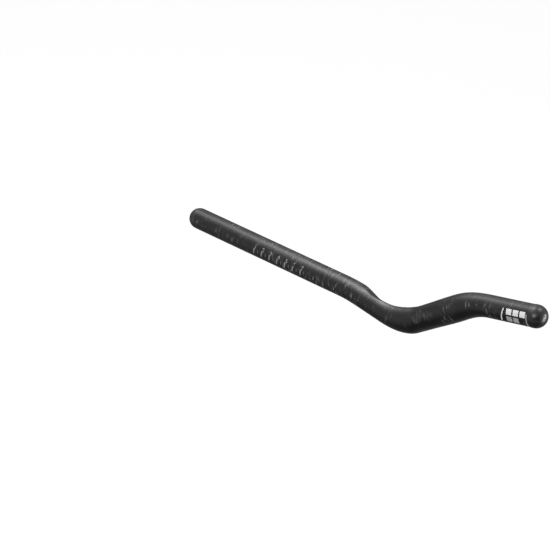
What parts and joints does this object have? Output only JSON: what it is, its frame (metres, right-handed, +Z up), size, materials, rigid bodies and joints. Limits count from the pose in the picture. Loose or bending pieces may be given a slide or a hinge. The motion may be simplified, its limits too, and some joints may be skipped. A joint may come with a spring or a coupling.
{
  "type": "aero handlebar extension",
  "caption": "Left-hand aero handlebar extension: a hollow carbon tube with a straight clamping stretch, a scooped S-bend grip and plugged ends.",
  "frame": {"origin": "on the tube's axis at the rear face of its straight clamping stretch", "axes": "+X forward along the straight clamping stretch, +Y outboard (to the rider's left), +Z up; the bends lie in the XZ plane"},
  "size_m": [0.474, 0.0278, 0.0901],
  "materials": {
    "carbon_laminate": "satin clear coat over black carbon fibre laminate",
    "gloss_plug": "glossy black moulded plastic",
    "matte_plug": "semi-matt black moulded plastic"
  },
  "bodies": {
    "root": {"extension_tube": "carbon_laminate", "front_end_plug": "gloss_plug", "rear_end_plug": "matte_plug"}
  },
  "joints": []
}
